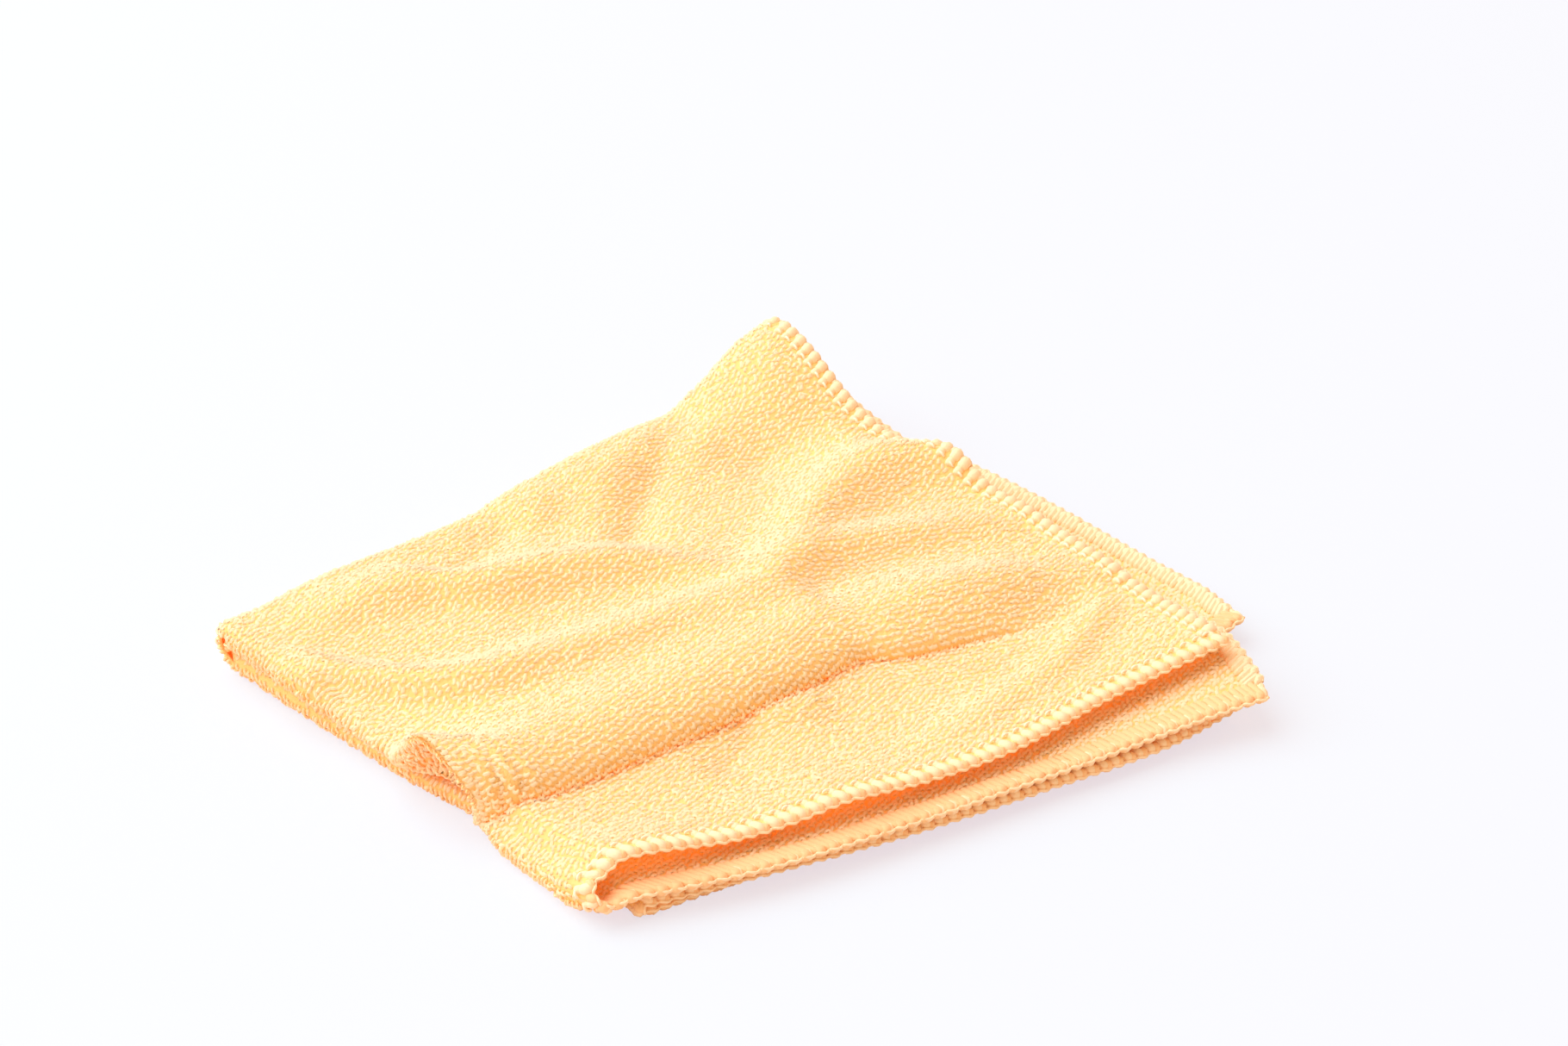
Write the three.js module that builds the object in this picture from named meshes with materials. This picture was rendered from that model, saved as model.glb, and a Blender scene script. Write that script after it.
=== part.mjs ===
// A square terry cleaning rag, folded in four and lying on a table.
//
// The rag is one knitted square with four overlocked hems. It is folded once along X's left side
// (the side fold) and then once along Y's far side (the back fold), so four layers lie on each other,
// numbered 1 (on the table) to 4 (on top). Layers 1 and 2 are the lower half, layers 3 and 4 the upper
// half. The upper half turns about the back fold when the rag is opened.
//
// Frame: +Z up, +X from the side fold to the open side, +Y from the open front to the back fold,
// origin under the middle of the rag. Millimetres.

import * as THREE from "three";

// Cloth and hems

const CLOTH_SIDE = 300; // the flat rag is square
const CLOTH_THICKNESS = 1.8; // knitted ground with its loops on both faces
const LAYER_CLEARANCE = 0.3; // air between two layers that lie on each other
const HEM_WIDTH = 4.8; // overlocked margin, from the raw edge inwards
const HEM_THICKNESS = 1.9; // thread wrapped round the raw edge, which stands a little proud of the cloth
const HEM_CLEARANCE = 0.7; // between the hem's thread and the cloth beside it
const STITCH_PITCH = 2.9; // one overlock stitch
const SCALLOP_DEPTH = 0.45; // how far a stitch stands out past the notch beside it
const NOTCH_SHARE = 0.72; // thickness of the hem at a notch, against a stitch's middle

// Lie of the layers

const LOWER_LOFT = 2.2; // air kept inside the lower half, behind the tuck
const LOWER_LOFT_LEAD = 5; // it starts this far in front of the tuck's foot
const LOWER_LOFT_REACH = 30; // and is full after this length
const HALVES_LOFT = 0.2; // air kept between the two halves
const UPPER_LOFT = 2.2; // air kept inside the upper half, behind the tuck
const BACK_BULGE = 7; // most that the back fold stands out behind its layers
const BACK_CLEARANCE = 0.35; // between the back fold and the halves that it joins
const SIDE_FOLD_INSET = 2.6; // from the side fold's outside to the ends of its layers

const FOLD_DROOP = 4.2; // how far the upper half's side fold droops in front of the tuck
const FOLD_DROOP_REACH = 5; // width over which it droops
const FOLD_DROOP_RUN = 7; // length over which it starts, along the fold

// Tuck: the pinch that runs across the top just behind the open front

const TUCK_FACE = 7; // length over which the tuck's steep front rises
const TUCK_CREST = 15; // from the foot of the tuck back to its crest
const TUCK_FALL = 9; // length over which the crest falls away behind
const TUCK_INNER_STEP = 3; // the inner layer's arch starts this far behind the outer one

// Corners

const PEAK_HEIGHT = 15.5; // the loose back corner stands up by this much
const PEAK_REACH_ACROSS = 21; // and fades over this length towards the side fold
const PEAK_REACH_ALONG = 29; // and over this length towards the open front
const INNER_PEAK_SHARE = 0.7; // how much of the peak layer 3 takes up
const LOWER_PEAK_SHARE = 0.42; // and layer 2
const FLARE_LIFT = 3; // layer 3's open front corner curls up
const LOW_CORNER_LIFT = 2.2; // layer 1's open front corner curls up less
const LOW_SIDE_LIFT = 2; // layer 1's open side lifts off the table
const LOW_SIDE_REACH = 18; // length over which it lifts
const CORNER_REACH = 24; // length over which a corner curls

// Facets

const LAYER_COLUMNS = 8; // steps across a layer, from its open side to the margin of the side fold
const MARGIN_COLUMNS = 3; // steps across that margin
const BEND_STEPS = 4; // steps round a fold
const APRON_ROWS = 5; // rows in front of the tuck
const FACE_ROWS = 5; // rows up the tuck's steep front
const REAR_ROWS = 12; // rows behind it
const FLAT_ROWS = 15; // rows along the lower half

const HALF_SIDE = CLOTH_SIDE / 2;
const EDGE = HALF_SIDE / 2; // from the middle of the rag to an unwrinkled edge
const LAYER_PITCH = CLOTH_THICKNESS + LAYER_CLEARANCE;
const HEM_BAND = HEM_WIDTH + HEM_CLEARANCE;
const HEM_ACROSS = 0.96; // share of a layer's width where the band of its side hem starts
const HEM_ALONG = 0.04; // share of its depth where the band of its front hem ends
const FOOT_ALONG = 0.27; // share of its depth where the tuck's foot lies
const BEND_SHARE = 0.02; // share of a half's run, from one open side to the other, that the side fold takes

const clamp01 = (value) => Math.min(1, Math.max(0, value));
const mix = (from, to, share) => from + (to - from) * share;
const smoothStep = (value) => clamp01(value) ** 2 * (3 - 2 * clamp01(value));
const bell = (distance, width) => Math.exp(-((distance / width) ** 2));

// A smooth function through a few [place, value] points, level beyond the ends.
function through(points) {
  const last = points.length - 1;
  const slope = (i) => {
    const before = points[Math.max(i - 1, 0)];
    const after = points[Math.min(i + 1, last)];
    return (after[1] - before[1]) / (after[0] - before[0]);
  };
  return (place) => {
    let i = 0;
    while (i < last - 1 && place > points[i + 1][0]) i += 1;
    const [start, from] = points[i];
    const [end, to] = points[i + 1];
    const length = end - start;
    const u = clamp01((place - start) / length);
    const bend = from * (1 + 2 * u) * (1 - u) ** 2 + to * u ** 2 * (3 - 2 * u);
    return bend + length * (slope(i) * u * (1 - u) ** 2 + slope(i + 1) * u ** 2 * (u - 1));
  };
}

// A value that runs straight from point to point of a few [share, value] points, and on past the ends.
function between(points, share) {
  let i = 0;
  while (i < points.length - 2 && share > points[i + 1][0]) i += 1;
  const [start, from] = points[i];
  const [end, to] = points[i + 1];
  return mix(from, to, (share - start) / (end - start));
}

// Plan of the layers
// The lines below are drawn on a grid of 300 steps to the cloth's side, and stretch with it.

const GRID = CLOTH_SIDE / 300;

// How far an edge lies past the unwrinkled edge, by the share of its run.
function edgeLine(points) {
  const line = through(points);
  return (share) => GRID * line(share);
}

// A line of the plan: y by x.
function planLine(points) {
  const line = through(points);
  return (x) => GRID * line(x / GRID);
}

// A height or a lean by x, which doesn't stretch with the plan.
function heightAlong(points) {
  const line = through(points);
  return (x) => line(x / GRID);
}

// The tuck draws the left part in, so the back fold slants.
const backFold = planLine([[-75, -20], [75, -1]]);
const lowerSideFold = edgeLine([[0, 3], [0.27, 1], [0.37, -2.6], [0.5, -5.6], [0.7, -8], [1, -10.8]]);
const upperSideFold = edgeLine([[0, -3.2], [0.18, -5.4], [0.29, -4.2], [0.45, -6.8], [1, -12.5]]);

// Tuck
// Its foot runs from the side fold towards the open side, where the pinch runs out.

const tuckFoot = planLine([[-90, -17], [-80, -24], [-70, -29.5], [0, -30.5], [22, -37], [52, -42]]);
const tuckHeight = heightAlong([[-86, 11.5], [-77, 9], [-65, 5.6], [-52, 4.6], [0, 4.6], [22, 3.6], [56, 0]]);
const tuckLean = heightAlong([[-90, 1], [-70, 3.5], [0, 4.2], [22, 3.4], [38, 2.4], [54, 0]]);
const apronDip = heightAlong([[-90, 1], [0, 1], [22, 0.7], [45, 0.35]]);
const innerArch = heightAlong([[-86, 8.5], [-76, 5.6], [-62, 1.4], [-48, 0]]);

// Layer 4 gapes open along the front.
const FRONT_GAPE_REACH = 15;
const frontGape = heightAlong([[-80, 3], [-66, 3.6], [-50, 2], [-26, 3.8], [-8, 2.6], [30, 2], [70, 1.4]]);

// Beside the apron the upper half's side fold droops to the table, past the lower half's fold.
// Where the droop starts is an x by y; towards the back it ends at the tuck.
const droopStart = planLine([[-62, -71], [-43, -72.6], [-28, -73]]);
const DROOP_BACK = -20 * GRID;

function foldDroop(x, y) {
  const across = smoothStep((droopStart(y) - x) / FOLD_DROOP_REACH);
  return FOLD_DROOP * across * smoothStep((DROOP_BACK - y) / FOLD_DROOP_RUN);
}

// Ridges
// Each has the line of its crest, its height along it, and how far it falls away in front and behind.

const RIDGES = [
  {
    crest: planLine([[20, -15], [37, -21], [51, -27], [66, -34]]),
    height: heightAlong([[14, 0], [30, 2.4], [45, 3], [58, 2.2], [76, 0.8]]),
    front: 6,
    back: 8,
  },
  {
    crest: planLine([[-80, 30], [-72, 18], [-62, 7.5], [-48, 4], [0, 1], [26, 3.5], [45, 0], [62, -5]]),
    height: heightAlong([[-90, 1.6], [-74, 3.6], [-58, 4.6], [-40, 4], [26, 4.2], [45, 3], [64, 0.8]]),
    front: 5.5,
    back: 8,
  },
  {
    crest: planLine([[-66, 47], [-50, 44], [-41, 36], [-24, 31], [-7, 24], [3, 15], [13, 10]]),
    height: heightAlong([[-80, 0], [-62, 3], [-46, 4.8], [-30, 5.4], [-12, 4.6], [0, 2.6], [14, 0]]),
    front: 6.5,
    back: 9,
  },
  {
    crest: planLine([[10, 5], [20, 10], [32, 18], [46, 24], [59, 25], [70, 18]]),
    height: heightAlong([[6, 0], [20, 2.6], [36, 4.6], [52, 5.4], [66, 4.6], [80, 3.4]]),
    front: 7,
    back: 9,
  },
  {
    crest: planLine([[4, -60], [18, -58], [39, -54], [63, -42]]),
    height: heightAlong([[-4, 0], [12, 1.2], [36, 1.6], [56, 1.4], [70, 0.5]]),
    front: 4.5,
    back: 5,
  },
  {
    crest: planLine([[-60, 54], [0, 60], [36, 64]]),
    height: heightAlong([[-80, 0], [-50, 0.4], [-20, 0.6], [10, 2], [30, 2.2], [48, 0]]),
    front: 11,
    back: 11,
  },
];

const ridgeRelief = (x, y) =>
  RIDGES.reduce((sum, ridge) => {
    const distance = y - ridge.crest(x);
    return sum + ridge.height(x) * bell(distance, distance < 0 ? ridge.front : ridge.back);
  }, 0);

// Rise of the tuck at a distance behind its foot: up the face, level to the crest, then down.
const tuckRise = (behind) =>
  smoothStep(behind / TUCK_FACE) * bell(Math.max(0, behind - TUCK_CREST), TUCK_FALL);

const tuckForward = (behind) =>
  smoothStep(behind / TUCK_FACE) * bell(Math.max(0, behind - TUCK_FACE), TUCK_FALL);

const PEAK = { x: EDGE - 8, y: EDGE - 2 };

const peakRise = (x, y) =>
  PEAK_HEIGHT * bell(x - PEAK.x, PEAK_REACH_ACROSS) * bell(y - PEAK.y, PEAK_REACH_ALONG);

const cornerCurl = (x, y, corner) =>
  bell(Math.hypot(x - corner.x, y - corner.y), CORNER_REACH);

// The side fold lies pressed flat beside the tuck, and keeps its air towards the back fold.
const SIDE_PRESS = { x: -EDGE - 9, y: 3, across: 16, along: 28 };

const airKept = (x, y) =>
  1 - bell(x - SIDE_PRESS.x, SIDE_PRESS.across) * bell(y - SIDE_PRESS.y, SIDE_PRESS.along);

const FLARE_CORNER = { x: EDGE - 3, y: -EDGE + 3 };
const LOW_CORNER = { x: EDGE + 9, y: -EDGE + 18 };

const flare = (x, y) => FLARE_LIFT * cornerCurl(x, y, FLARE_CORNER);

// Layers
// Each has its fold and its open edges, the height of its middle surface over a point of the plan,
// how far its tuck starts behind the top one's, and how much of the tuck's lean it follows.

const LAYER_1 = {
  fold: lowerSideFold,
  openSide: edgeLine([[0, 11.5], [0.35, 14], [0.65, 13], [0.85, 7], [1, -7]]),
  openFront: edgeLine([[0, 13.5], [0.3, 9], [0.6, 10], [1, 18]]),
  footStep: 0,
  leanShare: () => 0,
  height: (x, y) => {
    const side = smoothStep((x - EDGE) / LOW_SIDE_REACH + 0.25);
    return CLOTH_THICKNESS / 2 + LOW_SIDE_LIFT * side + LOW_CORNER_LIFT * cornerCurl(x, y, LOW_CORNER);
  },
};

const LAYER_2 = {
  fold: lowerSideFold,
  openSide: edgeLine([[0, -13], [0.5, -8], [1, -9]]),
  openFront: edgeLine([[0, 13.5], [0.2, 9], [0.42, 3], [0.65, -1.5], [1, -4]]),
  footStep: 0,
  leanShare: () => 0,
  height: (x, y) => {
    const behind = y - tuckFoot(x) + LOWER_LOFT_LEAD;
    const loft = LOWER_LOFT * airKept(x, y) * smoothStep(behind / LOWER_LOFT_REACH);
    return LAYER_1.height(x, y) + LAYER_PITCH + loft + LOWER_PEAK_SHARE * peakRise(x, y);
  },
};

const LAYER_3 = {
  fold: upperSideFold,
  openSide: edgeLine([[0, -9], [0.06, -5], [0.13, -1.5], [0.25, -0.5], [0.65, 1.5], [0.82, -2], [1, -7.5]]),
  openFront: edgeLine([[0, 13.5], [0.2, 5], [0.4, 0], [0.65, -4], [0.85, -7], [1, -11]]),
  footStep: TUCK_INNER_STEP,
  leanShare: (x) => clamp01(innerArch(x) / innerArch(-EDGE)),
  height: (x, y) => {
    const arch = innerArch(x) * tuckRise(y - tuckFoot(x) - TUCK_INNER_STEP);
    const peak = (INNER_PEAK_SHARE - LOWER_PEAK_SHARE) * peakRise(x, y);
    const rest = LAYER_2.height(x, y) + LAYER_PITCH + HALVES_LOFT + flare(x, y) - foldDroop(x, y);
    return rest + arch + peak;
  },
};

const LAYER_4 = {
  fold: upperSideFold,
  openSide: edgeLine([[0, -7.5], [0.3, -4], [0.55, -2.5], [0.82, -8], [1, -8]]),
  openFront: edgeLine([[0, 16], [0.15, 11], [0.35, 6], [0.6, 2.5], [0.8, 4.5], [1, 2.3]]),
  footStep: 0,
  leanShare: () => 1,
  height: (x, y) => {
    const behind = y - tuckFoot(x);
    const rest = LAYER_2.height(x, y) + 2 * LAYER_PITCH + HALVES_LOFT + flare(x, y) - foldDroop(x, y);
    const dip = apronDip(x) * (1 - smoothStep(behind / TUCK_FACE));
    const loft = UPPER_LOFT * airKept(x, y) * (1 - dip);
    const front = LAYER_4.openFront(clamp01((x + EDGE) / HALF_SIDE)) - EDGE;
    const mouth = frontGape(x) * bell(Math.max(0, y - front), FRONT_GAPE_REACH);
    const tuck = tuckHeight(x) * tuckRise(behind);
    const peak = (1 - LOWER_PEAK_SHARE) * peakRise(x, y);
    return rest + loft + mouth + tuck + peak + ridgeRelief(x, y);
  },
};

// A point of one layer's middle surface: across from the side fold (0) to the open side (1),
// and along from the open front (0) to the back fold (1).
// The hems' bands and the foot of the tuck each keep to a fixed share, so rows and columns follow them.
function layerPoint(layer, across, along) {
  const left = -EDGE + layer.fold(along) + SIDE_FOLD_INSET;
  const right = EDGE + layer.openSide(along);
  const x = between([[0, left], [HEM_ACROSS, right - HEM_BAND], [1, right]], across);
  const front = -EDGE + layer.openFront(across);
  const foot = tuckFoot(x) + layer.footStep;
  const rear = EDGE + backFold(x);
  const y = between([[0, front], [HEM_ALONG, front + HEM_BAND], [FOOT_ALONG, foot], [1, rear]], along);
  const lean = layer.leanShare(x) * tuckLean(x) * tuckForward(y - foot);
  return new THREE.Vector3(x, y - lean, layer.height(x, y));
}

// A half turn from one point to another that stands out by a given depth in one direction.
function bendPoint(from, to, direction, depth, share) {
  const angle = Math.PI * share;
  const middle = from.clone().add(to).multiplyScalar(0.5);
  const reach = from.clone().sub(to).multiplyScalar(0.5);
  return middle
    .addScaledVector(reach, Math.cos(angle))
    .addScaledVector(direction, depth * Math.sin(angle));
}

const OUT_OF_SIDE_FOLD = new THREE.Vector3(-1, 0, 0);
const OUT_OF_BACK_FOLD = new THREE.Vector3(0, 1, 0);

const LOWER_HALF = { top: LAYER_2, bottom: LAYER_1 };
const UPPER_HALF = { top: LAYER_4, bottom: LAYER_3 };

// A point of a half's middle surface. The run goes from the open side of its top layer (0),
// round the side fold, to the open side of its bottom layer (1).
function halfPoint(half, run, along) {
  if (run <= LAYER_RUN) return layerPoint(half.top, 1 - run / LAYER_RUN, along);
  if (run >= 1 - LAYER_RUN) return layerPoint(half.bottom, 1 - (1 - run) / LAYER_RUN, along);
  const from = layerPoint(half.top, 0, along);
  const to = layerPoint(half.bottom, 0, along);
  const share = (run - LAYER_RUN) / BEND_SHARE;
  return bendPoint(from, to, OUT_OF_SIDE_FOLD, from.distanceTo(to) / 2, share);
}

// A point of the back fold, which joins each layer of the upper half to its twin in the lower half.
function backPoint(run, turn) {
  const from = halfPoint(UPPER_HALF, run, 1);
  const to = halfPoint(LOWER_HALF, 1 - run, 1);
  const depth = Math.min(from.distanceTo(to) / 2, BACK_BULGE);
  const point = bendPoint(from, to, OUT_OF_BACK_FOLD, depth, turn);
  point.y += BACK_CLEARANCE;
  return point;
}

// Solids

// Joins rings of points into one closed surface: the rings are loops of equal length.
function loftGeometry(rings) {
  const size = rings[0].length;
  const points = rings.flat();
  const index = [];
  for (let r = 0; r + 1 < rings.length; r += 1) {
    for (let k = 0; k < size; k += 1) {
      const a = r * size + k;
      const b = r * size + ((k + 1) % size);
      index.push(a, b, a + size, b, b + size, a + size);
    }
  }
  const end = (rings.length - 1) * size;
  for (let k = 0; k + 1 <= size - 2 - k; k += 1) {
    const [a, b, c, d] = [k, k + 1, size - 2 - k, size - 1 - k];
    index.push(a, c, b, end + a, end + b, end + c);
    index.push(a, d, c, end + a, end + c, end + d);
  }
  const geometry = new THREE.BufferGeometry().setFromPoints(points);
  geometry.setIndex(index);
  geometry.computeVertexNormals();
  return geometry;
}

// Unit normal of a surface given as a function of two shares, by small steps to both sides.
function normalAt(surface, u, v) {
  const step = 0.002;
  const alongU = surface(u + step, v).sub(surface(u - step, v));
  const alongV = surface(u, v + step).sub(surface(u, v - step));
  return alongV.cross(alongU).normalize();
}

// A sheet of even thickness about a middle surface, as a closed solid.
function sheetGeometry(surface, columns, rows) {
  const half = CLOTH_THICKNESS / 2;
  const rings = columns.map((u) => {
    const points = rows.map((v) => surface(u, v));
    const normals = rows.map((v) => normalAt(surface, u, v));
    const front = points.map((point, i) => point.clone().addScaledVector(normals[i], half));
    const back = points.map((point, i) => point.clone().addScaledVector(normals[i], -half));
    return [...front, ...back.reverse()];
  });
  return loftGeometry(rings);
}

// An overlocked hem: a ribbed band along an edge, wider at each stitch than at the notch after it.
// The strip gives the middle surface by a share along the edge and a distance in from the edge.
function hemGeometry(strip, stitches) {
  const rings = [];
  for (let i = 0; i <= 2 * stitches; i += 1) {
    const share = i / (2 * stitches);
    const onStitch = i % 2 === 1;
    const half = (HEM_THICKNESS / 2) * (onStitch ? 1 : NOTCH_SHARE);
    const tip = onStitch ? 0 : SCALLOP_DEPTH;
    const section = [
      [HEM_WIDTH, half * NOTCH_SHARE],
      [HEM_WIDTH, -half * NOTCH_SHARE],
      [HEM_WIDTH / 2, -half],
      [tip, 0],
      [HEM_WIDTH / 2, half],
    ];
    const ring = section.map(([inwards, rise]) => {
      const normal = normalAt((u, v) => strip(u, v * HEM_WIDTH), share, inwards / HEM_WIDTH);
      return strip(share, inwards).addScaledVector(normal, rise);
    });
    rings.push(ring);
  }
  return loftGeometry(rings);
}

const evenSteps = (from, to, steps) =>
  Array.from({ length: steps + 1 }, (_, i) => mix(from, to, i / steps));

const stitchesIn = (length) => Math.max(3, Math.round(length / STITCH_PITCH));

const LAYER_RUN = (1 - BEND_SHARE) / 2; // share of a half's run on either side of the side fold
const CLOTH_START = (1 - HEM_ACROSS) * LAYER_RUN; // share of it that a side hem's band takes
const FOLD_MARGIN = 0.035; // share of it beside the side fold that has closer columns

// Columns of a half, from the hem of its top layer, round the side fold, to the hem of its bottom one.
const layerColumns = [
  ...evenSteps(CLOTH_START, LAYER_RUN - FOLD_MARGIN, LAYER_COLUMNS).slice(0, -1),
  ...evenSteps(LAYER_RUN - FOLD_MARGIN, LAYER_RUN, MARGIN_COLUMNS),
];
const halfColumns = [
  ...layerColumns,
  ...evenSteps(LAYER_RUN, 1 - LAYER_RUN, BEND_STEPS).slice(1, -1),
  ...layerColumns.map((run) => 1 - run).reverse(),
];

// Rows of the upper half are closest on the tuck's face.
const FACE_END = FOOT_ALONG + (1 - FOOT_ALONG) * (TUCK_FACE / (EDGE + backFold(0) - tuckFoot(0)));
const upperRows = [
  ...evenSteps(HEM_ALONG, FOOT_ALONG, APRON_ROWS).slice(0, -1),
  ...evenSteps(FOOT_ALONG, FACE_END, FACE_ROWS).slice(0, -1),
  ...evenSteps(FACE_END, 1, REAR_ROWS),
];
const lowerRows = evenSteps(HEM_ALONG, 1, FLAT_ROWS);
const backRows = evenSteps(0, 1, 2 * BEND_STEPS);

const clothGeometry = (half, rows) =>
  sheetGeometry((run, along) => halfPoint(half, run, along), halfColumns, rows);

// The front hem of a half follows its edge round the side fold.
const frontHemGeometry = (half) =>
  hemGeometry(
    (run, inwards) => halfPoint(half, run, (inwards / HEM_BAND) * HEM_ALONG),
    stitchesIn(CLOTH_SIDE),
  );

// A side hem runs from behind the front hem to the back fold.
const sideHemGeometry = (layer) =>
  hemGeometry(
    (share, inwards) => {
      const across = 1 - (inwards / HEM_BAND) * (1 - HEM_ACROSS);
      return layerPoint(layer, across, mix(1, HEM_ALONG, share));
    },
    stitchesIn(HALF_SIDE - HEM_WIDTH),
  );

// Where a side hem goes round the back fold, from the upper half's layer to the lower half's.
const backHemGeometry = (outer) => {
  const edge = (inwards) => (inwards / HEM_BAND) * CLOTH_START;
  const runAt = (inwards) => (outer ? edge(inwards) : 1 - edge(inwards));
  const length = backPoint(runAt(0), 0).distanceTo(backPoint(runAt(0), 1)) * 1.5;
  return hemGeometry(
    (share, inwards) => backPoint(runAt(inwards), outer ? share : 1 - share),
    stitchesIn(length),
  );
};

// Materials

const TERRY_YELLOW = 0xf7cf6e;
const THREAD_CREAM = 0xfbe3a6;

const terry = () =>
  new THREE.MeshStandardMaterial({ color: TERRY_YELLOW, roughness: 0.95, metalness: 0 });

const thread = () =>
  new THREE.MeshStandardMaterial({ color: THREAD_CREAM, roughness: 0.7, metalness: 0 });

function named(name, geometry, material) {
  const mesh = new THREE.Mesh(geometry, material);
  mesh.name = name;
  return mesh;
}

// Assembly

const lowerHalf = new THREE.Group();
lowerHalf.add(named("lower_half_cloth", clothGeometry(LOWER_HALF, lowerRows), terry()));
lowerHalf.add(named("lower_front_hem", frontHemGeometry(LOWER_HALF), thread()));
lowerHalf.add(named("layer_1_side_hem", sideHemGeometry(LAYER_1), thread()));
lowerHalf.add(named("layer_2_side_hem", sideHemGeometry(LAYER_2), thread()));

const upperHalf = new THREE.Group();
upperHalf.add(named("upper_half_cloth", clothGeometry(UPPER_HALF, upperRows), terry()));
upperHalf.add(named("upper_front_hem", frontHemGeometry(UPPER_HALF), thread()));
upperHalf.add(named("layer_3_side_hem", sideHemGeometry(LAYER_3), thread()));
upperHalf.add(named("layer_4_side_hem", sideHemGeometry(LAYER_4), thread()));

const back = new THREE.Group();
back.add(named("back_fold_cloth", sheetGeometry(backPoint, halfColumns, backRows), terry()));
back.add(named("outer_back_hem", backHemGeometry(true), thread()));
back.add(named("inner_back_hem", backHemGeometry(false), thread()));

const rag = new THREE.Group();
rag.name = "cleaning_rag";
rag.add(lowerHalf, upperHalf, back);

// The origin lies on the table, under the middle of the rag.
const extent = new THREE.Box3().setFromObject(rag);
const middle = extent.getCenter(new THREE.Vector3());
rag.position.set(-middle.x, -middle.y, -extent.min.z);

export default rag;
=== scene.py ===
"""A yellow terry cleaning rag, folded in four and lying on a pale table.

The cloth follows the plan lines of the CAD solids, in millimetres, with finer folds than theirs,
and is drawn here with its knitted ground, its loops, and its overlocked hems stitch by stitch.
"""

import math

import bpy
import numpy as np
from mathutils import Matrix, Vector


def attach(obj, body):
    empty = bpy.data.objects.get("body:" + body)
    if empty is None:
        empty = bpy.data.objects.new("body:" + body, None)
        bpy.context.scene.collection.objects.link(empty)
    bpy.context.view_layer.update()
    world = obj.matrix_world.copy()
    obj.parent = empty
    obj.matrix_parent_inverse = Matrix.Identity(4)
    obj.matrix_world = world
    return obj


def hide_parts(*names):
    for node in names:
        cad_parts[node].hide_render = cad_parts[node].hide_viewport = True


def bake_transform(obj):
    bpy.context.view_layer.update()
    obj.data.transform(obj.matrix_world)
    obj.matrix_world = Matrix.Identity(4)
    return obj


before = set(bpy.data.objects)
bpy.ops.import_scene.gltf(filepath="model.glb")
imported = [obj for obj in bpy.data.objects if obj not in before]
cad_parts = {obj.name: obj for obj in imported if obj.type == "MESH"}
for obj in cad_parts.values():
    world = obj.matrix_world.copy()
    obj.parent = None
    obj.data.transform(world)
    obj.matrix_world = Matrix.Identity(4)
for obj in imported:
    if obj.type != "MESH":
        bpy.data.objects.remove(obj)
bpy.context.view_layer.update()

MM = 0.001
SHIFT = np.array([-0.6198, 2.3657, 0.05])  # from the plan's middle to the CAD origin

# Sizes shared with the CAD, in millimetres
CLOTH_SIDE = 300.0
CLOTH_THICKNESS = 1.8
LAYER_CLEARANCE = 0.3  # air between two layers that lie on each other
HEM_WIDTH = 4.8
HEM_CLEARANCE = 0.7
STITCH_PITCH = 2.9
LOWER_LOFT = 2.2  # air kept inside the lower half, behind the tuck
LOWER_LOFT_LEAD = 5.0  # it starts this far in front of the tuck's foot
LOWER_LOFT_REACH = 30.0  # and is full after this length
HALVES_LOFT = 0.2  # air kept between the halves
UPPER_LOFT = 2.2  # and inside the upper half
BACK_BULGE = 7.0
BACK_CLEARANCE = 0.35
SIDE_FOLD_INSET = 2.6
TUCK_CREST = 15.0  # from the foot of the tuck back to its crest
TUCK_INNER_STEP = 3.0
PEAK_HEIGHT = 15.5
INNER_PEAK_SHARE = 0.7  # how much of the peak layer 3 takes up
LOWER_PEAK_SHARE = 0.42  # and layer 2
FLARE_LIFT = 3.0
LOW_CORNER_LIFT = 2.2
LOW_SIDE_LIFT = 2.0
LOW_SIDE_REACH = 18.0
CORNER_REACH = 24.0
HALF_SIDE = CLOTH_SIDE / 2
EDGE = HALF_SIDE / 2
LAYER_PITCH = CLOTH_THICKNESS + LAYER_CLEARANCE
HEM_BAND = HEM_WIDTH + HEM_CLEARANCE

# The peak is a little broader and rounder here than in the CAD
PEAK_REACH_ACROSS = 23.5
PEAK_REACH_ALONG = 27.0
PEAK_ROUNDNESS = 2.5

# Shares of a layer's width and depth, and of a half's run from its top edge to its bottom one
HEM_ACROSS = 0.96  # where the band of the side hem starts
HEM_ALONG = 0.04  # where the band of the front hem ends
FOOT_ALONG = 0.27  # where the tuck's foot lies
BEND_SHARE = 0.02  # the side fold itself
FOLD_RUN = 0.5  # the middle of the side fold
LAYER_RUN = (1 - BEND_SHARE) / 2
CLOTH_START = (1 - HEM_ACROSS) * LAYER_RUN


def mix(a, b, share):
    return a + (b - a) * share


def smooth(v):
    v = np.clip(v, 0.0, 1.0)
    return v * v * (3 - 2 * v)


def bell(distance, width):
    return np.exp(-((distance / width) ** 2))


def through(points):
    """A smooth function through a few (place, value) points, level beyond the ends."""
    xs, ys = np.array(points, float).T
    before = np.maximum(np.arange(len(xs)) - 1, 0)
    after = np.minimum(np.arange(len(xs)) + 1, len(xs) - 1)
    slopes = (ys[after] - ys[before]) / (xs[after] - xs[before])

    def at(place):
        place = np.asarray(place, float)
        i = np.searchsorted(xs[1:-1], place, side="left")
        length = xs[i + 1] - xs[i]
        u = np.clip((place - xs[i]) / length, 0.0, 1.0)
        bend = ys[i] * (1 + 2 * u) * (1 - u) ** 2 + ys[i + 1] * u**2 * (3 - 2 * u)
        return bend + length * (slopes[i] * u * (1 - u) ** 2 + slopes[i + 1] * u**2 * (u - 1))

    return at


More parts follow.
